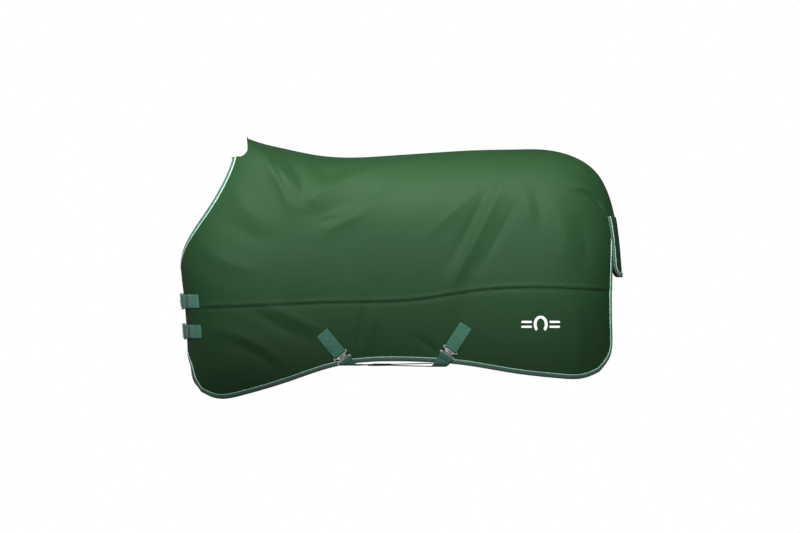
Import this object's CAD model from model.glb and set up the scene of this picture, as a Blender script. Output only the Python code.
import bmesh
import bpy
import mathutils
import numpy as np
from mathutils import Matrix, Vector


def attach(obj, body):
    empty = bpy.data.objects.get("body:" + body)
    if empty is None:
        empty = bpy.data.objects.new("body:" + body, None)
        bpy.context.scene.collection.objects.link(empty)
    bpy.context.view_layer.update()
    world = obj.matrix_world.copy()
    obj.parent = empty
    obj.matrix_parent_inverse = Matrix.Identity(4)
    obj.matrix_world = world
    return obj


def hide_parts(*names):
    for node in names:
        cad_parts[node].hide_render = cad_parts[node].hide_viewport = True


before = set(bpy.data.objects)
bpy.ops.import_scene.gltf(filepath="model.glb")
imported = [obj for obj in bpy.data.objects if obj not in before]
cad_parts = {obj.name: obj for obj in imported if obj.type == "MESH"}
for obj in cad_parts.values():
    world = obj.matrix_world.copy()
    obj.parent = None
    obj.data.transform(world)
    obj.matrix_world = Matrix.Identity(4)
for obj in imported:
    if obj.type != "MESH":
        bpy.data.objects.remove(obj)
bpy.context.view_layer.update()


# Camera and light: a long lens square to the near flank, soft light from high up in front
# of the shoulder, a pale floor where the horse would stand against white.
EYE = (-0.002, -25.0, -0.416)
PICTURE_WIDTH = 2.96
lens_data = bpy.data.cameras.new("camera")
lens_data.sensor_width = 36.0
lens_data.lens = 36.0 * (abs(EYE[1]) - 0.17) / PICTURE_WIDTH
lens_data.clip_end = 100.0
camera = bpy.data.objects.new("camera", lens_data)
camera.location = EYE
camera.rotation_euler = (np.pi / 2, 0, 0)
bpy.context.scene.collection.objects.link(camera)
bpy.context.scene.camera = camera
bpy.context.scene.view_settings.view_transform = "Standard"


def area_light(name, place, aim, size, power, spread=180):
    """A soft box; spread, in degrees, is how far a grid in front lets the light fan out."""
    data = bpy.data.lights.new(name, "AREA")
    data.shape = "RECTANGLE"
    data.size, data.size_y = size
    data.energy = power
    data.spread = np.radians(spread)
    lamp = bpy.data.objects.new(name, data)
    lamp.location = place
    from_to = Vector(aim) - Vector(place)
    lamp.rotation_euler = from_to.to_track_quat("-Z", "Y").to_euler()
    bpy.context.scene.collection.objects.link(lamp)


area_light("key", (-0.4, -3.6, 1.9), (-0.10, -0.1, -0.16), (2.2, 0.3), 20, 22)
area_light("fill", (-0.5, -5.0, 0.8), (0, 0, -0.4), (3.0, 2.0), 5)
area_light("top", (0.0, 0.8, 3.0), (0, 0, -0.2), (2.5, 1.5), 8)
world = bpy.data.worlds.new("studio")
world.use_nodes = True
sky = world.node_tree.nodes["Background"]
sky.inputs["Color"].default_value = (1, 1, 1, 1)
seen = world.node_tree.nodes.new("ShaderNodeLightPath")
strength = world.node_tree.nodes.new("ShaderNodeMapRange")
strength.inputs["To Min"].default_value, strength.inputs["To Max"].default_value = 0.24, 1.0
world.node_tree.links.new(seen.outputs["Is Camera Ray"], strength.inputs["Value"])
world.node_tree.links.new(strength.outputs["Result"], sky.inputs["Strength"])
bpy.context.scene.world = world


def mesh_object(name, points, faces, smooth=True):
    """A new mesh object at the origin."""
    data = bpy.data.meshes.new(name)
    corners = [tuple(map(float, point)) for point in points]
    data.from_pydata(corners, [], [tuple(map(int, face)) for face in faces])
    data.update()
    data.polygons.foreach_set("use_smooth", [smooth] * len(data.polygons))
    piece = bpy.data.objects.new(name, data)
    bpy.context.scene.collection.objects.link(piece)
    return piece


stage_paint = bpy.data.materials.new("stage_paint")
stage_paint.use_nodes = True
stage_shader = stage_paint.node_tree.nodes["Principled BSDF"]
stage_shader.inputs["Base Color"].default_value = (0.9, 0.9, 0.9, 1)
stage_shader.inputs["Roughness"].default_value = 0.9
FLOOR, SIDES, FRONT, BACK = -1.55, 9, -9, 1.3
floor = mesh_object("floor", [
    (-SIDES, FRONT, FLOOR), (SIDES, FRONT, FLOOR), (SIDES, BACK, FLOOR), (-SIDES, BACK, FLOOR)
], [(0, 1, 2, 3)])
floor.data.materials.append(stage_paint)


# The body line that the rug is cut to: the centre line from the chest over the back to the
# tail. Every slice of the body beside it is the same line made narrower and lower.
BODY_LINE = np.array([
    (-772, -1050), (-790, -760), (-804, -540), (-817, -411), (-806, -290),
    (-768, -165), (-704, -42), (-650, 40), (-602, 64), (-540, 50), (-437, 24),
    (-320, 0), (-203, -10), (-60, -5), (118, 7), (290, 17), (440, 20), (531, 19),
    (618, 2), (677, -24), (732, -70), (766, -128), (786, -185), (801, -258),
    (809, -350), (809, -450), (806, -600), (800, -800), (790, -1050),
]) / 1000
HALF_WIDTH, BOTTOM, ROUND_POWER = 0.3, -1.05, 2.5
NARROWING, LOWERING = 430 / 815, 270 / 1050


def spline(points, count):
    """Points on a smooth curve through the given ones, evenly spaced along it."""
    points = np.asarray(points, float)
    at = np.concatenate([[0], np.cumsum(np.linalg.norm(np.diff(points, axis=0), axis=1))])
    gaps = np.diff(at)
    size = len(points)
    left, right = np.eye(size), np.zeros((size, points.shape[1]))
    for row in range(1, size - 1):
        left[row, row - 1 : row + 2] = gaps[row - 1], 2 * (gaps[row - 1] + gaps[row]), gaps[row]
        rise = (points[row + 1] - points[row]) / gaps[row] - (points[row] - points[row - 1]) / gaps[row - 1]
        right[row] = 6 * rise
    bend = np.linalg.solve(left, right)

    def value(where):
        span = np.clip(np.searchsorted(at, where, side="right") - 1, 0, size - 2)
        gap = gaps[span][:, None]
        ahead = (where - at[span])[:, None] / gap
        behind = 1 - ahead
        curve = (behind ** 3 - behind) * bend[span] + (ahead ** 3 - ahead) * bend[span + 1]
        return behind * points[span] + ahead * points[span + 1] + curve * gap ** 2 / 6

    fine = value(np.linspace(0, at[-1], 4000))
    walked = np.concatenate([[0], np.cumsum(np.linalg.norm(np.diff(fine, axis=0), axis=1))])
    even = np.linspace(0, walked[-1], count)
    return np.stack([np.interp(even, walked, fine[:, axis]) for axis in range(fine.shape[1])], axis=1)


outline = spline(BODY_LINE, 3000)
outline_turn = np.arctan2(outline[:, 1] - BOTTOM, -outline[:, 0])
outline_reach = np.hypot(outline[:, 0], outline[:, 1] - BOTTOM)


def half_width(x, z):
    """How far out the body's side lies at this place in the side view."""
    low, high = np.zeros_like(x), np.ones_like(x)
    for _ in range(45):
        share = (low + high) / 2
        wide_x = x / (1 - share * NARROWING)
        wide_z = (z - BOTTOM) / (1 - share * LOWERING)
        reach = np.interp(np.arctan2(wide_z, -wide_x), outline_turn, outline_reach)
        inside = np.hypot(wide_x, wide_z) < reach
        low, high = np.where(inside, share, low), np.where(inside, high, share)
    share = (low + high) / 2
    return HALF_WIDTH * (1 - (1 - share) ** ROUND_POWER) ** (1 / ROUND_POWER)


# Folds in the hung cloth: each is a line drawn on the flank, how wide and how deep it is.
# A positive height is a ridge, a negative one a valley.
def fold(x, z, line, width, height, taper=0.5):
    """Height of one soft fold along a line of points."""
    line = np.asarray(line, float)
    path = spline(line, 40) if len(line) > 2 else np.linspace(line[0], line[1], 40)
    nearest = np.full(x.shape, np.inf)
    along = np.zeros(x.shape)
    for index, (at_x, at_z) in enumerate(path):
        gap = (x - at_x) ** 2 + (z - at_z) ** 2
        closer = gap < nearest
        nearest = np.where(closer, gap, nearest)
        along = np.where(closer, index / 39, along)
    strength = np.sin(np.pi * np.clip(along, 0.02, 0.98)) ** taper
    return height * strength * np.exp(-(nearest / width ** 2) ** 0.78)


NEAR_FOLDS = [
    # shoulder: a sharp fold that opens back along the withers
    ([(-0.50, -0.02), (-0.43, -0.13), (-0.395, -0.205)], 0.020, 0.0080),
    ([(-0.44, 0.00), (-0.36, -0.11), (-0.37, -0.205)], 0.026, -0.0075),
    ([(-0.40, -0.205), (-0.25, -0.12), (-0.08, -0.055), (0.08, -0.035)], 0.030, 0.0080),
    ([(-0.34, -0.235), (-0.18, -0.18), (-0.02, -0.12)], 0.034, -0.0060),
    ([(-0.29, -0.30), (-0.16, -0.215), (-0.02, -0.135)], 0.028, 0.0060),
    ([(-0.33, -0.03), (-0.27, -0.075), (-0.20, -0.06)], 0.030, -0.0060),
    ([(-0.62, -0.10), (-0.57, -0.20), (-0.50, -0.26)], 0.040, 0.0050),
    ([(-0.66, -0.24), (-0.55, -0.30), (-0.45, -0.32)], 0.040, -0.0040),
    ([(-0.74, -0.33), (-0.64, -0.40), (-0.52, -0.43)], 0.035, 0.0045),
    ([(-0.47, -0.03), (-0.425, -0.12), (-0.405, -0.185)], 0.010, -0.0050),
    ([(-0.30, -0.255), (-0.20, -0.225), (-0.10, -0.18)], 0.012, -0.0035),
    # hip: a dart that takes in the fullness over the point of the croup
    ([(0.640, -0.118), (0.690, -0.130), (0.735, -0.160), (0.762, -0.200)], 0.010, 0.0065),
    ([(0.636, -0.134), (0.684, -0.147), (0.724, -0.174), (0.748, -0.212)], 0.008, -0.0065),
    ([(0.600, -0.060), (0.660, -0.075), (0.715, -0.120), (0.745, -0.170)], 0.016, -0.0035),
    # hindquarter: long pleats that fall forward from the hip
    ([(0.39, -0.09), (0.31, -0.25), (0.21, -0.46)], 0.022, 0.0075),
    ([(0.35, -0.08), (0.27, -0.24), (0.17, -0.43)], 0.022, -0.0065),
    ([(0.43, -0.17), (0.36, -0.30), (0.27, -0.46)], 0.020, -0.0050),
    ([(0.30, -0.11), (0.21, -0.20), (0.10, -0.30)], 0.024, 0.0040),
    ([(0.45, -0.13), (0.47, -0.20), (0.49, -0.27)], 0.018, 0.0040),
    ([(0.49, -0.13), (0.51, -0.19), (0.52, -0.26)], 0.016, -0.0035),
    ([(0.56, -0.16), (0.60, -0.27), (0.60, -0.40)], 0.035, 0.0045),
    ([(0.66, -0.22), (0.68, -0.33), (0.67, -0.46)], 0.030, -0.0040),
    # flank and belly
    ([(0.26, -0.37), (0.245, -0.50), (0.25, -0.62)], 0.030, -0.0060),
    ([(0.20, -0.38), (0.19, -0.50), (0.20, -0.60)], 0.030, 0.0045),
    ([(-0.13, -0.54), (-0.14, -0.63), (-0.16, -0.72)], 0.016, -0.0050),
    ([(-0.09, -0.55), (-0.11, -0.64), (-0.13, -0.73)], 0.018, 0.0045),
    ([(0.05, -0.67), (0.09, -0.70), (0.14, -0.74)], 0.014, -0.0045),
    ([(-0.68, -0.65), (-0.55, -0.69), (-0.43, -0.77)], 0.022, 0.0055),
    ([(-0.64, -0.70), (-0.53, -0.74), (-0.44, -0.81)], 0.022, -0.0045),
    ([(-0.56, -0.57), (-0.44, -0.64), (-0.32, -0.69)], 0.024, -0.0050),
    ([(-0.50, -0.56), (-0.38, -0.61), (-0.27, -0.66)], 0.022, 0.0045),
    ([(-0.05, -0.30), (-0.03, -0.42), (-0.06, -0.53)], 0.050, -0.0035),
    ([(-0.35, -0.34), (-0.37, -0.44), (-0.36, -0.54)], 0.045, 0.0035),
    ([(0.38, -0.54), (0.40, -0.66), (0.42, -0.78)], 0.030, -0.0035),
    ([(0.62, -0.54), (0.66, -0.66), (0.65, -0.78)], 0.030, 0.0040),
]


# Sewn or clipped places, where the cloth lies flat: clips, chest straps and the mark
HELD_FLAT = [
    (-0.250, -0.705, 0.055), (-0.205, -0.755, 0.04), (0.215, -0.675, 0.055), (0.165, -0.745, 0.04),
    (-0.775, -0.545, 0.05), (-0.765, -0.657, 0.05), (0.516, -0.629, 0.075),
]


def cloth_height(x, z, shift=0.0):
    """How far the cloth stands off the body here; shift makes the off side's folds differ."""
    total = np.zeros_like(x)
    for line, width, height in NEAR_FOLDS:
        moved = [(point_x + shift * (0.5 + point_z), point_z - 0.6 * shift) for point_x, point_z in line]
        total += 1.25 * fold(x, z, moved, width * (1 + 2 * shift), height)
    ripple = np.sin(5.1 * x + 2.3 * z + 9 * shift) * np.sin(6.7 * z - 3.1 * x + 0.7)
    total = total + 0.0022 * ripple + 0.002
    above = z - np.interp(x, seam[:, 0], seam[:, 1])
    pucker = 1 + 0.35 * np.sin(95 * x + 3 * np.sin(23 * x)) * np.sin(31 * x + 1)
    pucker *= np.clip((x + 0.79) / 0.05, 0, 1) * np.clip((0.772 - x) / 0.05, 0, 1)
    total += 0.0022 * pucker * np.exp(-((above - 0.007) / 0.007) ** 2)
    total -= 0.0022 * pucker * np.exp(-((above + 0.006) / 0.007) ** 2)
    for held_x, held_z, reach in HELD_FLAT:
        total = total * (1 - np.exp(-((x - held_x) ** 2 + (z - held_z) ** 2) / reach ** 2))
    return total


def patch(top, bottom, left, right, across, down):
    """A grid in the side view between four edges, given as evenly spaced points."""
    def pick(edge, share):
        even = np.linspace(0, 1, len(edge))
        return np.stack([np.interp(share, even, edge[:, axis]) for axis in (0, 1)], axis=-1)

    p, q = across[:, None, None], down[None, :, None]
    upper, lower = pick(top, across)[:, None], pick(bottom, across)[:, None]
    front, rear = pick(left, down)[None], pick(right, down)[None]
    corners = ((1 - p) * (1 - q) * top[0] + p * (1 - q) * top[-1]
               + (1 - p) * q * bottom[0] + p * q * bottom[-1])
    return (1 - q) * upper + q * lower + (1 - p) * front + p * rear - corners


def eased(count, start):
    """Shares from 0 to 1 that begin finely, where the cloth turns away from the side."""
    share = np.linspace(0, 1, count)
    slope = 1 / (ROUND_POWER * start ** (ROUND_POWER - 1) * (1 - start) + start ** ROUND_POWER)
    met = slope * start ** ROUND_POWER
    straight = met + (1 - met) * (share - start) / (1 - start)
    return np.where(share < start, slope * share ** ROUND_POWER, straight)


def outline_between(start, end, count):
    """Part of the body line, between the points nearest to two places."""
    first = int(np.argmin(np.hypot(*(outline - start).T)))
    last = int(np.argmin(np.hypot(*(outline - end).T)))
    step = 1 if last > first else -1
    return spline(outline[first : last + step : step * 8], count)


WITHERS, TAIL_STEP = (-0.606, 0.064), (0.798, -0.245)
CHEST, SEAM_FRONT, FRONT_LEAVES = (-0.8165, -0.408), (-0.803, -0.571), (-0.791, -0.755)
NECK = [(-0.627, -0.044), (-0.651, -0.101), (-0.710, -0.203), (-0.781, -0.311), (-0.808, -0.370)]
HEM = [
    (-0.681, -0.901), (-0.586, -0.890), (-0.408, -0.837), (-0.232, -0.781), (-0.118, -0.766),
    (0.060, -0.765), (0.237, -0.778), (0.414, -0.807), (0.590, -0.827), (0.679, -0.826), (0.735, -0.804),
]
CORNERS = {
    "near": [(-0.775, -0.790), (-0.762, -0.835), (-0.737, -0.878)],
    "off": [(-0.783, -0.800), (-0.770, -0.850), (-0.741, -0.884)],
}
REAR = [(0.786, -0.247), (0.785, -0.340), (0.780, -0.518), (0.782, -0.651), (0.772, -0.755), (0.735, -0.804)]
SEAM = [
    (-0.803, -0.571), (-0.437, -0.555), (-0.232, -0.547), (0.074, -0.535), (0.263, -0.506), (0.780, -0.505),
]
COLUMNS, UPPER_ROWS, LOWER_ROWS = ((300, 150, 64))

topline = outline_between(WITHERS, TAIL_STEP, 600)
across = eased(COLUMNS, 0.12)
neck_front = np.concatenate([
    spline([topline[0]] + NECK + [CHEST], 300), outline_between(CHEST, SEAM_FRONT, 120)[1:]
])
rear_upper = np.concatenate([[topline[-1]], spline(REAR[:3], 200)])
seam = spline(SEAM, 500)
seam[0], seam[-1] = neck_front[-1], rear_upper[-1]
rear_lower = spline(REAR[2:], 160)
rear_upper = spline(rear_upper[::8], 300)
seam[-1] = rear_upper[-1]
rear_lower[0] = rear_upper[-1]
OVERLAP = 0.022         # how far the near front passes the centre line


def flank(side):
    """Points of one flank's outer cloth: the part above the long seam and the part below."""
    front_lower = np.concatenate([
        outline_between(SEAM_FRONT, FRONT_LEAVES, 80), spline([FRONT_LEAVES] + CORNERS[side], 60)[1:]
    ])
    front_lower = spline(front_lower[::6], 160)
    front_lower[0] = neck_front[-1]
    hem = spline([front_lower[-1]] + HEM, 600)
    rear_lower[-1] = hem[-1]
    upper = patch(topline, seam, neck_front, rear_upper, across, eased(UPPER_ROWS, 0.42))
    lower = patch(seam, hem, front_lower, rear_lower, across, np.linspace(0, 1, LOWER_ROWS))
    sign = -1 if side == "near" else 1
    made = []
    for grid in (upper, lower):
        x, z = grid[..., 0], grid[..., 1]
        y = half_width(x, z)
        chest_lap = np.exp(-(y / 0.05) ** 2) * (x < -0.6) * np.clip((-0.37 - z) / 0.05, 0, 1)
        if side == "near":
            made.append(np.stack([x, -y + OVERLAP * chest_lap, z], axis=-1))
        else:
            made.append(np.stack([x + 0.013 * chest_lap, y, z], axis=-1))
    return made, sign


def normals(grid, outward):
    """Unit normals of a grid of points, pointing to the given side."""
    along, down = np.gradient(grid, axis=0), np.gradient(grid, axis=1)
    normal = np.cross(along, down)
    normal /= np.maximum(np.linalg.norm(normal, axis=-1, keepdims=True), 1e-12)
    return normal * outward


shapes = {}
for side, shift in (("near", 0.0), ("off", 0.06)):
    (upper, lower), sign = flank(side)
    whole = np.concatenate([upper, lower[:, 1:]], axis=1)
    facing = normals(whole, 1)
    if np.sum(facing[..., 1] * sign) < 0:
        facing = -facing
    facing[:, 0] = facing[:, 1]
    facing[:, 0, 1] = 0
    facing[:, 0] /= np.linalg.norm(facing[:, 0], axis=-1, keepdims=True)
    height = cloth_height(whole[..., 0], whole[..., 2], shift)
    height *= np.clip(half_width(whole[..., 0], whole[..., 2]) / 0.12, 0.0, 1)
    shapes[side] = (whole + facing * height[..., None], facing)


def layer(side, depth):
    points, facing = shapes[side]
    return points - facing * depth


def set_uv(piece, uv):
    """Gives every vertex its place in metres on the flat cloth or webbing."""
    layer_uv = piece.data.uv_layers.new(name="cloth")
    corners = np.empty(len(piece.data.loops), np.int32)
    piece.data.loops.foreach_get("vertex_index", corners)
    layer_uv.data.foreach_set("uv", np.asarray(uv)[corners].ravel().astype(np.float32))


def grid_mesh(name, grid, flip):
    """A mesh object from a grid of points, with its length and depth as a UV map."""
    columns, rows = grid.shape[:2]
    index = np.arange(columns * rows).reshape(columns, rows)
    quads = np.stack([index[:-1, :-1], index[1:, :-1], index[1:, 1:], index[:-1, 1:]], axis=-1)
    quads = quads.reshape(-1, 4)
    if flip:
        quads = quads[:, ::-1]
    piece = mesh_object(name, grid.reshape(-1, 3), quads)
    steps_along = np.linalg.norm(np.diff(grid, axis=0), axis=-1)
    steps_down = np.linalg.norm(np.diff(grid, axis=1), axis=-1)
    along = np.concatenate([np.zeros((1, rows)), np.cumsum(steps_along, axis=0)])
    down = np.concatenate([np.zeros((columns, 1)), np.cumsum(steps_down, axis=1)], axis=1)
    along = np.broadcast_to(along.mean(axis=1, keepdims=True), down.shape)
    set_uv(piece, np.stack([along, down], axis=-1).reshape(-1, 2))
    return piece


class Shade:
    """A material's node tree, with a socket that can be added, multiplied and so on."""

    def __init__(self, tree, socket):
        self.tree, self.socket = tree, socket

    def node(self, kind, settings=None, out=0, **values):
        new = self.tree.nodes.new(kind)
        for key, setting in (settings or {}).items():
            setattr(new, key, setting)
        for key, value in values.items():
            numbered = key[0] == "i" and key[1:].isdigit()
            spot = new.inputs[int(key[1:]) if numbered else key.replace("_", " ")]
            if isinstance(value, Shade):
                self.tree.links.new(value.socket, spot)
            else:
                spot.default_value = value
        return Shade(self.tree, new.outputs[out])

    def math(self, operation, *values):
        numbered = {f"i{index}": value for index, value in enumerate(values)}
        return self.node("ShaderNodeMath", {"operation": operation}, **numbered)

    def __add__(self, other):
        return self.math("ADD", self, other)

    def __mul__(self, other):
        return self.math("MULTIPLY", self, other)

    __radd__ = __add__
    __rmul__ = __mul__

    def clamp(self, low, high):
        return self.node("ShaderNodeMapRange", None, i0=self, i1=low, i2=high)

    def mix(self, first, second):
        kind = {"data_type": "RGBA"}
        return self.node("ShaderNodeMix", kind, out=2, i0=self, i6=first, i7=second)


def material(name, roughness, metallic=0.0, sheen=0.0, specular=0.5):
    """A material with its Principled shader; returns the material, the shader and a Shade."""
    made = bpy.data.materials.new(name)
    made.use_nodes = True
    shader = made.node_tree.nodes["Principled BSDF"]
    shader.inputs["Roughness"].default_value = roughness
    shader.inputs["Metallic"].default_value = metallic
    shader.inputs["Sheen Weight"].default_value = sheen
    shader.inputs["Specular IOR Level"].default_value = specular
    coordinates = made.node_tree.nodes.new("ShaderNodeTexCoord")
    return made, shader, Shade(made.node_tree, coordinates.outputs["Object"])


def feed(made, shader, **values):
    for key, value in values.items():
        made.node_tree.links.new(value.socket, shader.inputs[key.replace("_", " ")])


def rgb(red, green, blue):
    """A colour given as display values from 0 to 255."""
    return tuple(((part / 255 + 0.055) / 1.055) ** 2.4 for part in (red, green, blue)) + (1.0,)


def noise(at, scale, detail=2.0):
    return at.node("ShaderNodeTexNoise", Vector=at, Scale=scale, Detail=detail)


def bump(height, strength, distance):
    return height.node("ShaderNodeBump", Height=height, Strength=strength, Distance=distance)


def show(piece, body, slot, surface, *nodes):
    """Gives a piece its surface and slot and lets it move with its body."""
    piece.data.materials.append(surface)
    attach(piece, body)
    if nodes:
        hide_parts(*nodes)
    return piece


# Outer cloth: one back panel over both flanks down to the long seam, and a lower panel on
# each side. It is a tightly woven, coated nylon with a low sheen that hangs in soft folds.
outer_cloth, shader, at = material("outer_cloth", 0.55, sheen=0.0, specular=0.2)
broad, fine = noise(at, 2.2, 3.0), noise(at, 38.0, 3.0)
uv = at.node("ShaderNodeUVMap", {"uv_map": "cloth"})
weft = at.node("ShaderNodeTexWave", {"bands_direction": "X"}, Vector=uv, Scale=420.0)
warp = at.node("ShaderNodeTexWave", {"bands_direction": "Y"}, Vector=uv, Scale=420.0)
weave = weft * warp
tone = (broad * 0.7 + fine * 0.3).clamp(0.3, 0.7)
shade = tone.mix(rgb(16, 46, 20), rgb(23, 55, 26))
woven = (weave * 0.55).mix(shade, rgb(33, 66, 35))
creases = noise(at, 14.0, 6.0)
feed(outer_cloth, shader, Base_Color=woven, Roughness=0.58 + fine * 0.2,
     Normal=bump(creases * 0.8 + weave * 0.10, 0.55, 0.0022))

SEAM_ROW = UPPER_ROWS - 1
both = np.concatenate([layer("off", 0.0)[:, SEAM_ROW:0:-1], layer("near", 0.0)[:, : SEAM_ROW + 1]], axis=1)
outer_back = grid_mesh("outer_back_panel", both, True)
show(outer_back, "shell", "shell_cloth", outer_cloth, "outer_back")
for side in ("near", "off"):
    grid = layer(side, 0.0012)[:, SEAM_ROW - 1 :]
    panel = grid_mesh(f"outer_lower_{side}_panel", grid, side == "near")
    show(panel, "shell", "shell_cloth", outer_cloth, f"outer_lower_{side}")


# Batting and lining: a soft sheet of polyester fibre, and under it a smooth nylon against the
# horse, both cut in the same three panels as the outer cloth and caught in its seams and edges.
def slab_mesh(name, outside, inside, flip):
    """A closed solid between two grids of the same size."""
    columns, rows = outside.shape[:2]
    index = np.arange(columns * rows).reshape(columns, rows)
    quads = np.stack([index[:-1, :-1], index[1:, :-1], index[1:, 1:], index[:-1, 1:]], axis=-1)
    quads = quads.reshape(-1, 4)
    if flip:
        quads = quads[:, ::-1]
    under = quads[:, ::-1] + columns * rows
    rim = np.concatenate([index[:, 0], index[-1, 1:], index[-2::-1, -1], index[0, -2:0:-1]])
    after = np.roll(rim, -1)
    walls = np.stack([rim, rim + columns * rows, after + columns * rows, after], axis=-1)
    if flip:
        walls = walls[:, ::-1]
    points = np.concatenate([outside.reshape(-1, 3), inside.reshape(-1, 3)])
    return mesh_object(name, points, np.concatenate([quads, under, walls]))


batting, shader, at = material("batting", 0.95)
fibres = noise(at, 90.0, 4.0)
feed(batting, shader, Base_Color=fibres.mix(rgb(222, 222, 214), rgb(244, 243, 238)),
     Normal=bump(fibres, 0.6, 0.002))
lining_cloth, shader, at = material("lining_cloth", 0.38, sheen=0.1)
threads = at.node("ShaderNodeTexWave", {"bands_direction": "DIAGONAL"}, Vector=at, Scale=260.0)
puckers = noise(at, 11.0, 5.0)
feed(lining_cloth, shader, Base_Color=puckers.mix(rgb(20, 46, 30), rgb(30, 62, 42)),
     Roughness=0.3 + puckers * 0.25, Normal=bump(puckers + threads * 0.1, 0.5, 0.002))


def panels(depth, thin=1):
    """The three panels of one layer, as grids: the back, the near and the off lower panel."""
    near, off = layer("near", depth), layer("off", depth)
    back = np.concatenate([off[:, SEAM_ROW:0:-1], near[:, : SEAM_ROW + 1]], axis=1)
    return {
        "back": back[::thin, ::thin], "lower_near": near[::thin, SEAM_ROW::thin],
        "lower_off": off[::thin, SEAM_ROW::thin],
    }


FILL_TOP, FILL_FOOT, LINING_DEPTH = 0.0052, 0.0086, 0.0102
coarser = 2
outsides, insides = panels(FILL_TOP, coarser), panels(FILL_FOOT, coarser)
for panel, outside in outsides.items():
    piece = slab_mesh(f"fill_{panel}_batting", outside, insides[panel], panel != "lower_off")
    show(piece, "shell", "fill", batting, f"fill_{panel}")
for panel, grid in panels(LINING_DEPTH, coarser).items():
    piece = grid_mesh(f"lining_{panel}_sheet", grid, panel == "lower_off")
    show(piece, "shell", "lining", lining_cloth, f"lining_{panel}")
    (1.64, 1.47) if panel == "back" else (1.74, 0.295)


# Edge tape: woven tape folded over all raw edges and sewn through all three layers, with a
# pale piping cord along its inside. It runs as one piece round the neck and one on each side.
def resampled(points, facing, spacing):
    """Even points along a line, with the cloth's facing there and the way into the cloth."""
    walked = np.concatenate([[0], np.cumsum(np.linalg.norm(np.diff(points, axis=0), axis=1))])
    even = np.linspace(0, walked[-1], int(walked[-1] / spacing))
    line = np.stack([np.interp(even, walked, points[:, axis]) for axis in range(3)], axis=1)
    up = np.stack([np.interp(even, walked, facing[:, axis]) for axis in range(3)], axis=1)
    kernel = np.ones(5) / 5
    for axis in range(3):
        up[2:-2, axis] = np.convolve(up[:, axis], kernel, "valid")
    ahead = np.gradient(line, axis=0)
    inward = np.cross(up, ahead)
    for vectors in (up, inward):
        vectors /= np.linalg.norm(vectors, axis=1, keepdims=True)
    return line, up, inward


def rim_line(side):
    """The cut edge of one flank, from the withers down, along the hem and up to the tail."""
    points, facing = shapes[side]
    line = np.concatenate([points[0, :], points[1:, -1], points[-1, -2::-1]])
    faces = np.concatenate([facing[2, :], facing[1:, -3], facing[-3, -2::-1]])
    line, up, inward = resampled(line, faces, 0.004)
    middle = np.array([0.0, 0.0, -0.5]) - line
    middle -= up * np.sum(middle * up, axis=1, keepdims=True)
    if np.sum(inward * middle) < 0:
        inward = -inward
    return line, up, inward


def sweep_mesh(name, line, up, inward, section, closed=True):
    """A strip or tube whose section is given as (into the cloth, out of the cloth) pairs."""
    rings = [line + inward * into + up * out for into, out in section]
    grid = np.stack(rings, axis=1)
    count, sides = grid.shape[:2]
    index = np.arange(count * sides).reshape(count, sides)
    follow = np.roll(index, -1, axis=1)
    quads = np.stack([index[:-1], index[1:], follow[1:], follow[:-1]], axis=-1)
    quads = quads.reshape(-1, 4) if closed else quads[:, :-1].reshape(-1, 4)
    caps = [tuple(index[0]), tuple(index[-1][::-1])] if closed else []
    piece = mesh_object(name, grid.reshape(-1, 3), [tuple(quad) for quad in quads] + caps)
    outward_faces(piece)
    return piece


def outward_faces(piece):
    """Turns a closed shell's faces so that they point outwards."""
    shell = bmesh.new()
    shell.from_mesh(piece.data)
    bmesh.ops.recalc_face_normals(shell, faces=shell.faces)
    shell.to_mesh(piece.data)
    shell.free()


tape_cloth, shader, at = material("tape_cloth", 0.75, sheen=0.1)
grain = noise(at, 420.0, 2.0)
soil = noise(at, 9.0, 3.0)
feed(tape_cloth, shader, Base_Color=(grain * 0.6 + soil * 0.4).mix(rgb(30, 56, 46), rgb(60, 92, 80)),
     Normal=bump(grain, 0.5, 0.0006))
piping_cloth, shader, at = material("piping_cloth", 0.7, sheen=0.1)
grain = noise(at, 500.0, 2.0)
soil = noise(at, 12.0, 3.0)
feed(piping_cloth, shader, Base_Color=(grain * 0.4 + soil * 0.6).mix(rgb(118, 166, 144), rgb(168, 206, 188)),
     Normal=bump(grain, 0.4, 0.0005))
TAPE_SECTION = [
    (0.0125, 0.0002), (0.0125, 0.0011), (0.006, 0.0014), (0.0005, 0.0013), (-0.0014, -0.0010),
    (-0.0018, -0.0050), (-0.0014, -0.0092), (0.0005, -0.0112), (0.0125, -0.0110), (0.0125, -0.0100),
    (0.0010, -0.0100), (-0.0003, -0.0050), (0.0010, 0.0001),
]
PIPE_IN, PIPE_OUT, PIPE_RADIUS = 0.0143, 0.0006, 0.0019
angles = np.linspace(0, 2 * np.pi, 9)[:-1]
PIPE_SECTION = [(PIPE_IN + PIPE_RADIUS * np.cos(a), PIPE_OUT + PIPE_RADIUS * np.sin(a)) for a in angles]
NECK_FOOT = -0.405
rims = {side: rim_line(side) for side in ("near", "off")}
feet = {side: int(np.argmax(parts[0][:, 2] < NECK_FOOT)) for side, parts in rims.items()}
rim_parts = {side: tuple(part[feet[side]:] for part in parts) for side, parts in rims.items()}
rim_parts["neck"] = tuple(
    np.concatenate([off_part[feet["off"]:0:-1], near_part[: feet["near"] + 1]])
    for off_part, near_part in zip(rims["off"], rims["near"])
)
for part, (line, up, inward) in rim_parts.items():
    tape = sweep_mesh(f"{part}_edge_tape", line, up, inward, TAPE_SECTION)
    show(tape, "shell", "edge_tape", tape_cloth, f"{part}_tape")
    open_edge = ~((line[:, 0] > 0.7) & (line[:, 2] > -0.262))       # not under the tail flap
    piping = sweep_mesh(f"{part}_edge_piping", line[open_edge], up[open_edge], inward[open_edge],
                        PIPE_SECTION)
    show(piping, "shell", "piping", piping_cloth, f"{part}_piping")


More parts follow.
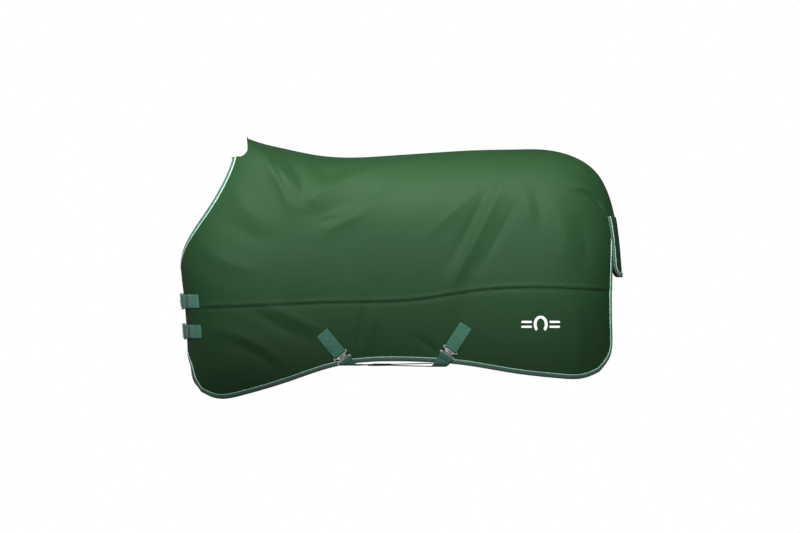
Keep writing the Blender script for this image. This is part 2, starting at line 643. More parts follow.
# Chest fastening: green polypropylene webbing sewn to each front, punched billets that lie
# in tongue buckles, and a keeper loop. Webbing is woven with ribs across and a rolled edge.
WEB_HALF, WEB_THICK = 0.025, 0.0022
front_line = outline[outline[:, 0] < -0.6]
front_line = front_line[np.argsort(front_line[:, 1])]
rear_line = outline[outline[:, 0] > 0.6]
rear_line = rear_line[np.argsort(rear_line[:, 1])]


def end_point(line, y, z):
    """A point of the body's chest or rump, whose centre line is given."""
    share = 1 - (1 - (np.abs(y) / HALF_WIDTH) ** ROUND_POWER) ** (1 / ROUND_POWER)
    wide_z = BOTTOM + (z - BOTTOM) / (1 - share * LOWERING)
    x = np.interp(wide_z, line[:, 1], line[:, 0]) * (1 - share * NARROWING)
    return np.stack([x, y + 0 * x, z + 0 * x], axis=-1)


def lifted(line, y, z, lift):
    """The same point moved off the body along the cloth's normal."""
    y, z, lift = np.broadcast_arrays(np.asarray(y, float), z, lift)
    step = 0.002
    side_on = end_point(line, y + step, z) - end_point(line, y - step, z)
    up_on = end_point(line, y, z + step) - end_point(line, y, z - step)
    normal = np.cross(side_on, up_on)
    normal /= np.linalg.norm(normal, axis=-1, keepdims=True)
    normal *= np.sign(normal[..., :1]) * np.sign(line[0, 0])
    return end_point(line, y, z) + normal * lift[..., None]


SHARES_OVER = np.array([-1, -0.985, -0.93, -0.5, 0, 0.5, 0.93, 0.985, 1.0])
ROLLED_EDGE = 0.35 + 0.65 * np.clip((1 - np.abs(SHARES_OVER)) / 0.07, 0, 1) ** 0.5


def webbing_mesh(name, faces, line, over):
    """Webbing from the grids of its two faces, with metres across and along it as a UV map."""
    piece = slab_mesh(name, faces[0], faces[1], False)
    outward_faces(piece)
    walked = np.concatenate([[0], np.cumsum(np.linalg.norm(np.diff(line, axis=0), axis=1))])
    size = (len(line), len(over))
    one_side = np.stack([np.broadcast_to(over, size), np.broadcast_to(walked[:, None], size)], axis=-1)
    one_side = one_side.reshape(-1, 2)
    set_uv(piece, np.concatenate([one_side, one_side]))
    return piece


def ribbon(name, path, put, half=WEB_HALF, thick=WEB_THICK):
    """Webbing along a path of (along, lift) pairs; put turns (along, across, lift) into points."""
    path = spline(path, max(8, int(400 * np.linalg.norm(np.diff(path, axis=0), axis=1).sum())))
    ahead = np.gradient(path, axis=0)
    ahead /= np.linalg.norm(ahead, axis=1, keepdims=True)
    side = np.stack([-ahead[:, 1], ahead[:, 0]], axis=1)
    fat = thick / 2 * ROLLED_EDGE
    faces = []
    for sign in (1, -1):
        sheet = path[:, None] + sign * side[:, None] * fat[None, :, None]
        span = np.broadcast_to(SHARES_OVER * half, sheet.shape[:2])
        faces.append(put(sheet[..., 0], span, sheet[..., 1]))
    return webbing_mesh(name, faces, path, SHARES_OVER * half)


def webbing_material(name, dark, light):
    made, shader, at = material(name, 0.55, sheen=0.1)
    uv = at.node("ShaderNodeUVMap", {"uv_map": "cloth"})
    ribs = at.node("ShaderNodeTexWave", {"bands_direction": "Y"}, Vector=uv, Scale=210.0, Distortion=0.6)
    rows = at.node("ShaderNodeTexWave", {"bands_direction": "X"}, Vector=uv, Scale=160.0)
    fuzz = noise(at, 240.0, 3.0)
    worn = noise(at, 18.0, 3.0)
    weave = ribs * 0.6 + rows * 0.4
    feed(made, shader, Base_Color=(weave * 0.55 + worn * 0.45).mix(dark, light),
         Roughness=0.5 + fuzz * 0.25, Normal=bump(weave + fuzz * 0.4, 0.7, 0.0007))
    return made


webbing = webbing_material("webbing", rgb(14, 68, 51), rgb(50, 112, 92))
strap_webbing = webbing_material("strap_webbing", rgb(12, 60, 46), rgb(46, 102, 84))


def chest_put(height):
    """Places (along Y, across, lift) on the chest at one strap's height."""
    return lambda along, over, lift: lifted(front_line, along, height + over, lift)


CHEST_HEIGHT = {"upper": -0.545, "lower": -0.657}
HEEL, TOE = (-0.017, 0.0054), (0.020, 0.0158)
KEEPER_PLACE = -0.074
for strap, height in CHEST_HEIGHT.items():
    put = chest_put(height)
    path = [
        (-0.190, 0.0012), (-0.130, 0.0012), (-0.070, 0.0012), (-0.034, 0.0013), (-0.022, 0.0020),
        (-0.0145, 0.0040), (-0.0144, 0.0068), (-0.0185, 0.0084), (-0.026, 0.0062), (-0.034, 0.0038),
        (-0.046, 0.0035), (-0.062, 0.0035),
    ]
    show(ribbon(f"chest_strap_{strap}_webbing", path, put), "shell", "webbing", webbing,
         f"chest_strap_{strap}")
    path = [
        (0.190, 0.0030), (0.140, 0.0030), (0.096, 0.0032), (0.084, 0.0050), (0.070, 0.0105), (0.055, 0.0123),
        (0.030, 0.0123), (0.0, 0.0124), (-0.040, 0.0122), (-0.080, 0.0118), (-0.118, 0.0105),
    ]
    show(ribbon(f"billet_{strap}_webbing", path, put), "shell", "webbing", webbing, f"billet_{strap}")
    loop = np.array([
        (-0.0272, 0.0030), (-0.0280, 0.0080), (-0.0268, 0.0138), (-0.020, 0.0147), (0.0, 0.0147),
        (0.020, 0.0147), (0.0268, 0.0138), (0.0280, 0.0080), (0.0272, 0.0030),
    ])

    def keeper_put(along, over, lift):
        return put(KEEPER_PLACE + over, along, lift)

    show(ribbon(f"keeper_{strap}_webbing", loop, keeper_put, half=0.008, thick=0.0018),
         "shell", "webbing", webbing, f"keeper_{strap}")


# Metal fittings: nickel-plated tongue buckles on the chest, die-cast slotted plates and
# T-hooks under the belly. All are cast with rounded edges and go slightly dull in use.
nickel, shader, at = material("nickel", 0.3, metallic=1.0)
worn, scratches = noise(at, 45.0, 3.0), noise(at, 500.0, 2.0)
feed(nickel, shader, Base_Color=worn.mix(rgb(205, 206, 204), rgb(248, 248, 244)),
     Roughness=0.22 + worn * 0.2, Normal=bump(worn + scratches * 0.2, 0.25, 0.0004))


def face_put(origin, x_dir, z_dir):
    """Turns (along, across, out) on a flat face into points of the rug."""
    x_dir, z_dir = (np.array(way, float) / np.linalg.norm(way) for way in (x_dir, z_dir))
    ways = np.stack([x_dir, np.cross(z_dir, x_dir), z_dir])
    return lambda points: np.asarray(origin) + np.asarray(points, float) @ ways


def rounded(corners, radius, steps=5):
    """A closed outline with every corner rounded."""
    corners = np.asarray(corners, float)
    outline_points = []
    for before, corner, after in zip(np.roll(corners, 1, 0), corners, np.roll(corners, -1, 0)):
        back, on = before - corner, after - corner
        reach = min(radius, np.linalg.norm(back) * 0.49, np.linalg.norm(on) * 0.49)
        start, end = corner + back / np.linalg.norm(back) * reach, corner + on / np.linalg.norm(on) * reach
        for t in np.linspace(0, 1, steps):
            outline_points.append((1 - t) ** 2 * start + 2 * t * (1 - t) * corner + t ** 2 * end)
    return np.array(outline_points)


def box_outline(low, high, radius):
    return rounded([low, (high[0], low[1]), high, (low[0], high[1])], radius)


def plate(outlines, bottom, top, soft):
    """Points and faces of a plate with windows and rounded edges, flat in its own directions."""
    curve = bpy.data.curves.new("outline", "CURVE")
    curve.dimensions, curve.fill_mode = "2D", "BOTH"
    curve.extrude = (top - bottom) / 2 - soft
    curve.bevel_depth, curve.bevel_resolution, curve.offset = soft, 2, -soft
    for points in outlines:
        run = curve.splines.new("POLY")
        run.points.add(len(points) - 1)
        run.use_cyclic_u = True
        run.points.foreach_set("co", np.c_[points, np.zeros(len(points)), np.ones(len(points))].ravel())
    holder = bpy.data.objects.new("outline", curve)
    bpy.context.scene.collection.objects.link(holder)
    flat = bpy.data.meshes.new_from_object(holder.evaluated_get(bpy.context.evaluated_depsgraph_get()))
    points = np.array([vertex.co for vertex in flat.vertices]) + (0, 0, (top + bottom) / 2)
    faces = [tuple(face.vertices) for face in flat.polygons]
    bpy.data.objects.remove(holder)
    bpy.data.curves.remove(curve)
    bpy.data.meshes.remove(flat)
    return points, faces


def bar(path, radius, sides=10, closed=False):
    """Points and faces of a round bar along a path, with rounded ends unless it is closed."""
    path = np.asarray(path, float)
    ahead = np.roll(path, -1, 0) - np.roll(path, 1, 0) if closed else np.gradient(path, axis=0)
    ahead /= np.linalg.norm(ahead, axis=1, keepdims=True)
    side = np.cross(ahead[0], (0.31, 0.57, 0.76))
    sides_on = []
    for way in ahead:
        side = side - way * np.dot(side, way)
        side /= np.linalg.norm(side)
        sides_on.append(side)
    sides_on = np.array(sides_on)
    radii = np.broadcast_to(radius, len(path)).astype(float)
    if not closed:
        beyond, narrowed = np.array([1.0, 0.8, 0.4]), np.array([0.15, 0.6, 0.92])
        first = path[:1] - ahead[:1] * radii[0] * beyond[:, None]
        last = path[-1:] + ahead[-1:] * radii[-1] * beyond[::-1, None]
        path = np.concatenate([first, path, last])
        radii = np.concatenate([radii[0] * narrowed, radii, radii[-1] * narrowed[::-1]])
        sides_on = np.concatenate([sides_on[:1]] * 3 + [sides_on] + [sides_on[-1:]] * 3)
        ahead = np.concatenate([ahead[:1]] * 3 + [ahead] + [ahead[-1:]] * 3)
    other = np.cross(ahead, sides_on)
    turn = np.linspace(0, 2 * np.pi, sides, endpoint=False)
    rings = path[:, None] + radii[:, None, None] * (
        np.cos(turn)[None, :, None] * sides_on[:, None] + np.sin(turn)[None, :, None] * other[:, None])
    index = np.arange(len(path) * sides).reshape(len(path), sides)
    if closed:
        index = np.concatenate([index, index[:1]])
    follow = np.roll(index, -1, axis=1)
    faces = np.stack([index[:-1], follow[:-1], follow[1:], index[1:]], axis=-1).reshape(-1, 4).tolist()
    if not closed:
        faces += [index[0].tolist(), index[-1][::-1].tolist()]
    return rings.reshape(-1, 3), faces


def joined(name, put, *parts):
    """One object from several sets of points and faces, placed on a face."""
    points, faces, base = [], [], 0
    for part_points, part_faces in parts:
        points.append(put(part_points))
        faces += [[corner + base for corner in face] for face in part_faces]
        base += len(part_points)
    piece = mesh_object(name, np.concatenate(points), faces)
    outward_faces(piece)
    return piece


BUCKLE_HALF = 0.0285
for strap, height in CHEST_HEIGHT.items():
    origin = end_point(front_line, np.array(0.0), np.array(height))
    put = face_put(origin, (0, 1, 0), (-1, 0, -0.07))
    frame_loop = rounded([
        (HEEL[0], -BUCKLE_HALF), (TOE[0], -BUCKLE_HALF), (TOE[0], BUCKLE_HALF), (HEEL[0], BUCKLE_HALF)
    ], 0.007, 7)
    lift = HEEL[1] + (frame_loop[:, 0] - HEEL[0]) * (TOE[1] - HEEL[1]) / (TOE[0] - HEEL[0])
    loop = bar(np.c_[frame_loop, lift], 0.0021, 12, closed=True)
    show(joined(f"buckle_{strap}_frame", put, loop), "shell", "nickel", nickel, f"buckle_{strap}")
    curl = [(HEEL[0] + 0.0027 * np.cos(a), 0.0, HEEL[1] + 0.0027 * np.sin(a))
            for a in np.linspace(-2.2, 1.2, 10)]
    tip = (TOE[0] + 0.004, 0.0, TOE[1] + 0.0048)
    shank = np.linspace(curl[-1], tip, 10)[1:]
    pin = bar(np.array(curl + list(shank)), np.r_[np.full(10, 0.0012), np.linspace(0.0013, 0.0010, 9)])
    show(joined(f"tongue_{strap}_pin", put, pin), f"tongue_{strap}", "nickel", nickel, f"tongue_{strap}")


# Belly straps: a webbing tab sewn to the near side holds a slotted plate; the strap comes
# under the belly from an anchor on the off side, ends in a T-hook, and has a plastic slide.
black_plastic, shader, at = material("slider_plastic", 0.4)
grain = noise(at, 160.0, 3.0)
feed(black_plastic, shader, Base_Color=grain.mix(rgb(16, 18, 18), rgb(38, 40, 40)),
     Roughness=0.32 + grain * 0.25, Normal=bump(grain, 0.3, 0.0005))
TABS = {"front": ((-0.225, -0.738), (0.634, -0.773)), "rear": ((0.186, -0.719), (-0.54, -0.842))}
BEND = {"front": -0.779, "rear": -0.7834}
SLIDER_SHARE = {"front": 0.36, "rear": 0.70}
RIBBON_HALF = 0.030     # half the strap's width along X where it runs under the belly
PLATE = (0.0036, 0.0062)
ANCHOR_FOOT = -0.7755
for place, ((x, z), (down_x, down_z)) in TABS.items():
    put = face_put((x, -HALF_WIDTH, z), (down_x, 0, down_z), (0, -1, 0))

    def tab_put(along, over, lift):
        return put(np.stack(np.broadcast_arrays(along, over, lift), axis=-1))

    path = [
        (-0.102, 0.0030), (-0.060, 0.0030), (-0.020, 0.0030), (-0.006, 0.0028), (0.0015, 0.0022),
        (0.0047, 0.0042), (0.0047, 0.0066), (0.0015, 0.0086), (-0.006, 0.0070), (-0.016, 0.0054),
        (-0.040, 0.0053),
    ]
    show(ribbon(f"surcingle_tab_{place}_webbing", path, tab_put), "shell", "webbing", webbing,
         f"surcingle_tab_{place}")
    key_hole = [
        (0.0105, -0.009), (0.014, -0.009), (0.014, -0.0035), (0.018, -0.0035), (0.018, 0.0035),
        (0.014, 0.0035), (0.014, 0.009), (0.0105, 0.009),
    ]
    body_outline = [
        (0.0, -0.030), (0.0085, -0.030), (0.0105, -0.018), (0.020, -0.015), (0.020, 0.015), (0.0105, 0.018),
        (0.0085, 0.030), (0.0, 0.030),
    ]
    slotted = plate([
        rounded(body_outline, 0.004), box_outline((0.0033, -0.0262), (0.0066, 0.0262), 0.0012),
        rounded(key_hole, 0.0012, 3),
    ], *PLATE, 0.0007)
    show(joined(f"clip_{place}_plate", put, slotted), "shell", "nickel", nickel, f"clip_{place}")

    ring = plate([
        box_outline((0.0225, -0.030), (0.032, 0.030), 0.004),
        box_outline((0.0253, -0.0262), (0.0287, 0.0262), 0.0012),
    ], *PLATE, 0.0007)
    stem = bar([(0.0245, 0, 0.0050), (0.0235, 0, 0.0028), (0.021, 0, 0.0019), (0.018, 0, 0.0018),
                (0.0158, 0, 0.0026), (0.0155, 0, 0.0050), (0.0155, 0, 0.0078)], 0.0016, 12)
    head = bar([(0.0155, -0.0072, 0.0080), (0.0155, -0.003, 0.0082), (0.0155, 0.003, 0.0082),
                (0.0155, 0.0072, 0.0080)], 0.0017, 12)
    show(joined(f"hook_{place}_cast", put, ring, stem, head), f"belly_strap_{place}", "nickel", nickel,
         f"hook_{place}")

    reach = (z - BEND[place]) / -down_z
    other = "rear" if place == "front" else "front"
    (other_x, other_z), (other_down_x, other_down_z) = TABS[other]
    turn_x = x + down_x * reach
    far_x = other_x + other_down_x * (other_z - BEND[place]) / -other_down_z
    outside = HALF_WIDTH + PLATE[1]
    middle = BEND[place] - WEB_THICK / 2
    bottom = np.array([turn_x, -outside, middle])
    far = np.array([far_x, HALF_WIDTH - 0.001, middle])
    top_path = [
        (0.046, 0.0070), (0.038, 0.0084), (0.032, 0.0092), (0.0278, 0.0082), (0.0262, 0.0055),
        (0.0275, 0.0026), (0.0315, 0.0022), (0.038, 0.0036), (0.043, 0.0042),
    ]

    def end_put(along, over, lift):
        points = tab_put(along, over, lift)
        points[..., 2] = np.maximum(points[..., 2], BEND[place] + 0.0016)
        return points

    fold_over = ribbon(f"belly_strap_{place}_end", np.array(top_path), end_put)
    # The long run goes down the near face, round the bend and across under the belly.
    under_dir = (far - bottom) / np.linalg.norm(far - bottom)
    start = put([0.0315, 0, 0.0051])
    corner_at = put([reach, 0, 0.0051])
    corner_at[2] = middle
    run = [start + (corner_at - start) * t for t in (0, 0.4, 0.75)]
    run += [corner_at + under_dir * t for t in (0.012, 0.05)]
    run += [corner_at + (far - corner_at) * t for t in np.linspace(0.15, 1, 18)]
    run = spline(np.array(run), 220)
    progress = np.clip((np.arange(220) / 219 - 0.004) / 0.036, 0, 1)[:, None]
    progress = progress ** 2 * (3 - 2 * progress)
    near_across = np.array([-down_z, 0, down_x])
    way_over = near_across * (1 - progress) + np.array([1.0, 0, 0]) * progress * RIBBON_HALF / WEB_HALF
    ahead = np.gradient(run, axis=0)
    ahead /= np.linalg.norm(ahead, axis=1, keepdims=True)
    out_way = np.cross(way_over, ahead)
    out_way /= np.linalg.norm(out_way, axis=1, keepdims=True)
    fat = WEB_THICK / 2 * ROLLED_EDGE
    span = run[:, None] + way_over[:, None] * (SHARES_OVER * WEB_HALF)[None, :, None]
    faces = [span + sign * out_way[:, None] * fat[None, :, None] for sign in (1, -1)]
    for face in faces:
        face[..., 2] = np.maximum(face[..., 2], BEND[place] - WEB_THICK)
    long_run = webbing_mesh(f"belly_strap_{place}_webbing", faces, run, SHARES_OVER * WEB_HALF)
    show(long_run, f"belly_strap_{place}", "strap_webbing", strap_webbing, f"belly_strap_{place}")
    show(fold_over, f"belly_strap_{place}", "strap_webbing", strap_webbing)

    along = corner_at + (far - corner_at) * SLIDER_SHARE[place]
    slide_put = face_put(along, under_dir, np.cross(np.cross(under_dir, (0, 0, 1)), under_dir))
    sleeve = plate([
        box_outline((-0.033, -0.0036), (0.033, 0.0036), 0.0022),
        box_outline((-0.0295, -0.0015), (0.0295, 0.0015), 0.001),
    ], -0.014, 0.014, 0.0008)
    sleeve = (sleeve[0][:, [2, 0, 1]], sleeve[1])
    show(joined(f"slider_{place}_sleeve", slide_put, sleeve), f"slider_{place}", "slider_plastic",
         black_plastic, f"slider_{place}")

    off_put = face_put((x, HALF_WIDTH, z), (down_x, 0, down_z), (0, 1, 0))

    def anchor_put(along, over, lift):
        points = off_put(np.stack(np.broadcast_arrays(along, over, lift), axis=-1))
        points[..., 2] = np.maximum(points[..., 2], ANCHOR_FOOT)
        return points

    path = [(-0.102, 0.0021), (-0.04, 0.0021), (0.0, 0.0022), (0.03, 0.0022), (0.060, 0.0022)]
    show(ribbon(f"surcingle_anchor_{place}_webbing", path, anchor_put), "shell", "webbing", webbing,
         f"surcingle_anchor_{place}")


# Tail flap: two plies of the outer cloth bound with the edge tape, sewn across the rump and
# hanging over the gap between the rear edges.
FLAP_HALF, FLAP_TOP, FLAP_FOOT, FLAP_CORNER = 0.145, -0.232, -0.455, 0.045


def flap_lift(y, z):
    """How far the flap stands off the body: it kicks out softly towards its foot."""
    down = np.clip((FLAP_TOP - z) / (FLAP_TOP - FLAP_FOOT), 0, 1)
    wave = 0.003 * down * np.sin(np.asarray(y) * 42.0)
    return 0.0046 + 0.0012 * np.clip(down / 0.07, 0, 1) + 0.010 * down ** 2 + wave


def flap_put(y, z, inward):
    return lifted(rear_line, y, z, flap_lift(y, z) - inward)


flap_rows, flap_columns = 44, 56
flap_z = np.linspace(FLAP_TOP, FLAP_FOOT, flap_rows)
below = np.clip((FLAP_FOOT + FLAP_CORNER - flap_z) / FLAP_CORNER, 0, 1)
flap_edge = FLAP_HALF - FLAP_CORNER * (1 - np.sqrt(np.clip(1 - below ** 2, 0, 1)))
flap_y = np.linspace(-1, 1, flap_columns)[:, None] * flap_edge[None]
flap_zz = np.broadcast_to(flap_z, flap_y.shape)
for node, depth, cloth in (("tail_flap", 0.0, outer_cloth), ("tail_flap_lining", 0.0022, lining_cloth)):
    piece = grid_mesh(f"{node}_sheet", flap_put(flap_y, flap_zz, depth), depth > 0)
    show(piece, "tail_flap", "shell_cloth", cloth, node)
turn = np.linspace(0, np.pi / 2, 14)
corner_y = FLAP_HALF - FLAP_CORNER + FLAP_CORNER * np.cos(turn)
corner_z = FLAP_FOOT + FLAP_CORNER - FLAP_CORNER * np.sin(turn)
half_y = np.concatenate([np.full(12, FLAP_HALF), corner_y[1:]])
half_z = np.concatenate([np.linspace(FLAP_TOP, FLAP_FOOT + FLAP_CORNER, 12), corner_z[1:]])
foot_y = np.linspace(FLAP_HALF - FLAP_CORNER, FLAP_CORNER - FLAP_HALF, 40)[1:-1]
edge_y = np.concatenate([half_y, foot_y, -half_y[::-1]])
edge_z = np.concatenate([half_z, np.full(len(foot_y), FLAP_FOOT), half_z[::-1]])
line = flap_put(edge_y, edge_z, 0.0)
up = line - flap_put(edge_y, edge_z, 0.01)
line, up, inward = resampled(line, up / np.linalg.norm(up, axis=1, keepdims=True), 0.004)
if np.sum(inward * (np.array([0.81, 0, -0.3]) - line)) < 0:
    inward = -inward
FLAP_SECTION = [
    (0.0125, 0.0004), (0.0125, 0.0012), (0.006, 0.0015), (0.0005, 0.0013), (-0.0012, 0.0), (-0.0012, -0.0022),
    (0.0005, -0.0035), (0.0125, -0.0034), (0.0125, -0.0026), (0.001, -0.0025), (0.001, 0.0003),
]
show(sweep_mesh("tail_flap_edge_tape", line, up, inward, FLAP_SECTION), "tail_flap", "edge_tape", tape_cloth,
     "tail_flap_tape")
show(sweep_mesh("tail_flap_edge_piping", line, up, inward, PIPE_SECTION), "tail_flap", "piping", piping_cloth)


# Wither pad: thick white fleece folded over the neck edge where it bears on the withers, and
# sewn down along its rear edge outside and inside.
fleece_pile, shader, at = material("fleece_pile", 0.95, sheen=0.3)
curls = at.node("ShaderNodeTexVoronoi", Vector=at, Scale=260.0)
tufts = noise(at, 120.0, 4.0)
pile = (tufts * 0.6 + curls * 0.4).clamp(0.1, 0.7)
feed(fleece_pile, shader, Base_Color=pile.mix(rgb(160, 160, 155), rgb(200, 200, 196)),
     Normal=bump(curls + tufts, 0.8, 0.003))
line, up, inward = rim_parts["neck"]
kept = line[:, 2] > -0.016
line, up, inward = line[kept], up[kept], inward[kept]
PAD_REAR, PAD_THICK, UNDER = -0.568, 0.0062, 0.0108


def on_cloth(spots, out):
    """Moves points onto the outer cloth, then off it by the given distance."""
    moved = []
    for spot, lift in zip(spots, out):
        near_by = withers_tree.find_n(spot, 4)
        weight = np.array([1 / (gap + 1e-4) for _, _, gap in near_by])
        index = [number for _, number, _ in near_by]
        facing = (withers_facing[index] * weight[:, None]).sum(0)
        facing /= np.linalg.norm(facing)
        middle = (withers_points[index] * weight[:, None]).sum(0) / weight.sum()
        moved.append(spot + facing * (np.dot(middle - spot, facing) + lift))
    return np.array(moved)


withers_points, withers_facing = [], []
for points, facing in shapes.values():
    close = (points[..., 0] < -0.48) & (points[..., 2] > -0.08)
    withers_points.append(points[close])
    withers_facing.append(facing[close])
withers_points, withers_facing = np.concatenate(withers_points), np.concatenate(withers_facing)
withers_tree = mathutils.kdtree.KDTree(len(withers_points))
for number, point in enumerate(withers_points):
    withers_tree.insert(point, number)
withers_tree.balance()
inward_x = np.maximum(inward[:, 0], 0.6)
reach_in = np.clip((PAD_REAR - line[:, 0]) / inward_x, 0.030, 0.058)
share = np.abs(np.linspace(-1, 1, len(line)))
reach_in *= 1 - 0.34 * np.clip((share - 0.90) / 0.10, 0, 1) ** 2
columns = np.linspace(0, 1, 26)
rings = []
for part, out in ((columns[:0:-1], 1), (columns[1:], -1)):
    for column in part:
        spots = line + inward * (reach_in * column)[:, None]
        soft = PAD_THICK * (1 - 0.55 * column ** 10)
        rings.append(on_cloth(spots, np.full(len(line), 0.001 + soft if out > 0 else -UNDER - soft)))
    if out > 0:
        for angle in np.linspace(0.15, np.pi - 0.15, 11):
            into, over = -0.001 - 0.0075 * np.sin(angle), -0.0049 + 0.0118 * np.cos(angle)
            rings.append(line + inward * into + up * over)
for column, out in ((1.0, -UNDER), (0.06, -UNDER), (0.06, 0.001), (1.0, 0.001)):
    rings.append(on_cloth(line + inward * (reach_in * column)[:, None], np.full(len(line), out)))
grid = np.stack(rings, axis=1)
mathutils.noise.seed_set(7)
for row in range(len(grid)):
    for column in range(grid.shape[1] - 4):
        tuft = mathutils.noise.noise_vector(Vector(grid[row, column] * 210.0))
        grid[row, column] += 0.0013 * np.array(tuft)
index = np.arange(grid.shape[0] * grid.shape[1]).reshape(grid.shape[:2])
follow = np.roll(index, -1, axis=1)
quads = np.stack([index[:-1], index[1:], follow[1:], follow[:-1]], axis=-1).reshape(-1, 4)
ends = [index[0].tolist(), index[-1].tolist()]
fleece = mesh_object("wither_fleece_pad", grid.reshape(-1, 3), quads.tolist() + ends)
outward_faces(fleece)
show(fleece, "shell", "fleece", fleece_pile, "wither_fleece")


# Printed mark: a plain horseshoe between short bars, screen-printed in white ink on the near
# quarter.
print_ink, shader, at = material("mark_print", 0.6)
cracks = noise(at, 300.0, 4.0)
feed(print_ink, shader, Base_Color=cracks.mix(rgb(214, 218, 214), rgb(250, 250, 250)),
     Roughness=0.5 + cracks * 0.2, Normal=bump(cracks, 0.3, 0.0003))
turn = np.linspace(-0.27 * np.pi, 1.27 * np.pi, 40)
shoe = np.concatenate([
    np.c_[0.026 * np.cos(turn), 0.032 * np.sin(turn)], np.c_[0.015 * np.cos(turn), 0.022 * np.sin(turn)][::-1]
])
bars = [box_outline((over - 0.019, level - 0.004), (over + 0.019, level + 0.004), 0.001)
        for over in (-0.052, 0.052) for level in (-0.009, 0.009)]
points, faces = [], []
for shape_points in [shoe] + bars:
    flat_points, flat_faces = plate([shape_points], -0.0003, 0.0003, 0.0001)
    faces += [[corner + sum(len(made) for made in points) for corner in face] for face in flat_faces]
    points.append(flat_points)
points = np.concatenate(points)
MARK_PLACE = (0.516, -0.629)
mark_x, mark_z = MARK_PLACE[0] + points[:, 0], MARK_PLACE[1] + points[:, 1]
stand = half_width(mark_x, mark_z) + cloth_height(mark_x, mark_z) + 0.0007 + points[:, 2]
mark = mesh_object("quarter_mark_print", np.c_[mark_x, -stand, mark_z], faces)
outward_faces(mark)
show(mark, "shell", "mark_print", print_ink, "quarter_mark")


# Stitching: lockstitch of pale green thread in double rows along the long seams, one row in
# the edge tape, and a box with a cross in it wherever webbing is sewn down.
def stitch_tree():
    """Nodes that lay short, fat stitches end to end along the edges of a mesh."""
    tree = bpy.data.node_groups.new("stitches", "GeometryNodeTree")
    tree.interface.new_socket("Geometry", in_out="INPUT", socket_type="NodeSocketGeometry")
    for name, value in (("Spacing", 0.004), ("Stitch Length", 0.003), ("Thickness", 0.0006)):
        entry = tree.interface.new_socket(name, in_out="INPUT", socket_type="NodeSocketFloat")
        entry.default_value = value
    tree.interface.new_socket("Thread", in_out="INPUT", socket_type="NodeSocketMaterial")
    tree.interface.new_socket("Geometry", in_out="OUTPUT", socket_type="NodeSocketGeometry")

    def add(kind, **settings):
        node = tree.nodes.new(kind)
        for key, setting in settings.items():
            setattr(node, key, setting)
        return node

    start, end = add("NodeGroupInput"), add("NodeGroupOutput")
    to_curve, resample = add("GeometryNodeMeshToCurve"), add("GeometryNodeResampleCurve", mode="LENGTH")
    tangent, align = add("GeometryNodeInputTangent"), add("FunctionNodeAlignRotationToVector", axis="Z")
    bead, scale = add("GeometryNodeMeshUVSphere"), add("ShaderNodeCombineXYZ")
    place = add("GeometryNodeInstanceOnPoints")
    real, paint = add("GeometryNodeRealizeInstances"), add("GeometryNodeSetMaterial")
    bead.inputs["Segments"].default_value, bead.inputs["Rings"].default_value = 6, 4
    bead.inputs["Radius"].default_value = 0.5
    for source, output, target, entry in (
        (start, "Geometry", to_curve, "Mesh"), (to_curve, "Curve", resample, "Curve"),
        (start, "Spacing", resample, "Length"), (resample, "Curve", place, "Points"),
        (tangent, "Tangent", align, "Vector"), (align, "Rotation", place, "Rotation"),
        (bead, "Mesh", place, "Instance"), (start, "Thickness", scale, "X"), (start, "Thickness", scale, "Y"),
        (start, "Stitch Length", scale, "Z"), (scale, "Vector", place, "Scale"),
        (place, "Instances", real, "Geometry"), (real, "Geometry", paint, "Geometry"),
        (start, "Thread", paint, "Material"), (paint, "Geometry", end, "Geometry"),
    ):
        tree.links.new(source.outputs[output], target.inputs[entry])
    return tree


def thread_material(name, dark, light):
    made, shader, at = material(name, 0.6)
    twist = noise(at, 900.0, 2.0)
    feed(made, shader, Base_Color=twist.mix(dark, light), Normal=bump(twist, 0.5, 0.0003))
    return made


thread = thread_material("thread", rgb(56, 104, 84), rgb(110, 156, 136))
dark_thread = thread_material("dark_thread", rgb(10, 28, 16), rgb(22, 48, 30))
stitching = stitch_tree()


def stitches(name, lines, material_used, spacing=0.004, length=0.0031, thickness=0.0009):
    """One object with all the stitches of some lines of points."""
    points, edges, base = [], [], 0
    for run in lines:
        points.append(np.asarray(run))
        edges += [(base + index, base + index + 1) for index in range(len(run) - 1)]
        base += len(run)
    data = bpy.data.meshes.new(name)
    data.from_pydata([tuple(map(float, point)) for point in np.concatenate(points)], edges, [])
    holder = bpy.data.objects.new("lines", data)
    bpy.context.scene.collection.objects.link(holder)
    modifier = holder.modifiers.new("stitches", "NODES")
    modifier.node_group = stitching
    values = {"Spacing": spacing, "Stitch Length": length, "Thickness": thickness, "Thread": material_used}
    for socket in stitching.interface.items_tree:
        if socket.in_out == "INPUT" and socket.name in values:
            modifier[socket.identifier] = values[socket.name]
    made = bpy.data.meshes.new_from_object(holder.evaluated_get(bpy.context.evaluated_depsgraph_get()))
    bpy.data.objects.remove(holder)
    piece = bpy.data.objects.new(name, made)
    bpy.context.scene.collection.objects.link(piece)
    made.polygons.foreach_set("use_smooth", [True] * len(made.polygons))
    return piece


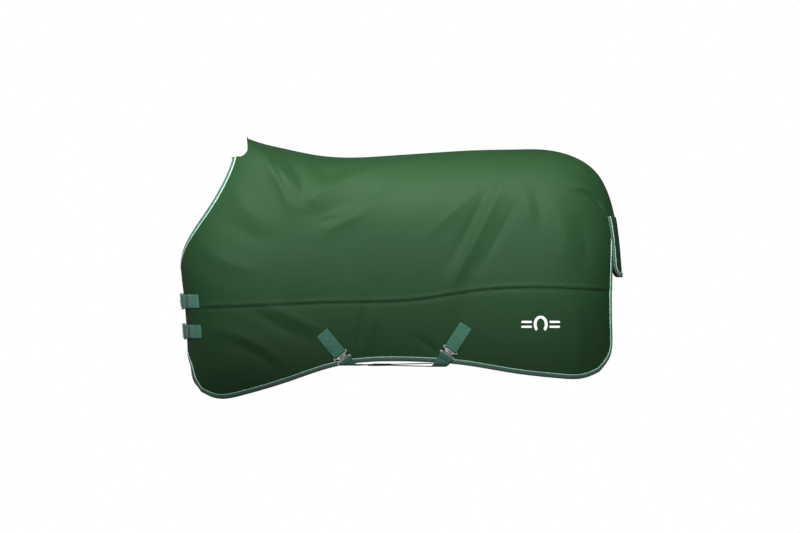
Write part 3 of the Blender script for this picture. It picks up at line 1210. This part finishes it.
def cross_box(low, high, half=0.021):
    """The usual box and cross as lines of (along, over) pairs."""
    loop = [(low, -half), (high, -half), (high, half), (low, half), (low, -half), (high, half)]
    return [loop, [(low, half), (high, -half)]]


def dense(line, step=0.004):
    """Extra points so that a line follows the surface under it."""
    made = []
    for before, after in zip(line, line[1:]):
        count = max(2, int(np.hypot(after[0] - before[0], after[1] - before[1]) / step))
        for share in np.linspace(0, 1, count, endpoint=False):
            made.append(np.array(before) + (np.array(after) - before) * share)
    return np.array(made + [line[-1]])


seam_lines, tape_lines, web_lines = [], [], []
for side in ("near", "off"):
    points, facing = shapes[side]
    for row_share in (0.3, 1.3):
        row = SEAM_ROW - row_share
        low_row = int(row)
        share = row - low_row
        on = points[:, low_row] * (1 - share) + points[:, low_row + 1] * share
        seam_lines.append(on[3:-3] + facing[3:-3, low_row] * 0.0003)
for line, up, inward in rim_parts.values():
    tape_lines.append(line + inward * 0.0095 + up * 0.0013)
tape_lines = [run[2:-2] for run in tape_lines]
for strap, height in CHEST_HEIGHT.items():
    put = chest_put(height)
    for low, high, lift in ((-0.186, -0.142, 0.0026), (-0.060, -0.036, 0.0049), (0.142, 0.186, 0.0044)):
        for run in cross_box(low, high):
            run = dense(run)
            web_lines.append(put(run[:, 0], run[:, 1], lift))
for place, ((x, z), (down_x, down_z)) in TABS.items():
    tab_boxes = ((-0.098, -0.052, 0.0043), (-0.036, -0.014, 0.0068))
    anchor_boxes = ((-0.098, -0.052, 0.0035),)
    for side_y, lifts in ((-1, tab_boxes), (1, anchor_boxes)):
        put = face_put((x, side_y * HALF_WIDTH, z), (down_x, 0, down_z), (0, side_y, 0))
        for low, high, lift in lifts:
            for run in cross_box(low, high):
                run = dense(run)
                web_lines.append(put(np.c_[run, np.full(len(run), lift)]))
show(stitches("seam_stitches", seam_lines, dark_thread), "shell", "shell_cloth", dark_thread)
show(stitches("tape_stitches", tape_lines, thread), "shell", "edge_tape", thread)
show(stitches("webbing_stitches", web_lines, thread, thickness=0.0011), "shell", "webbing", thread)
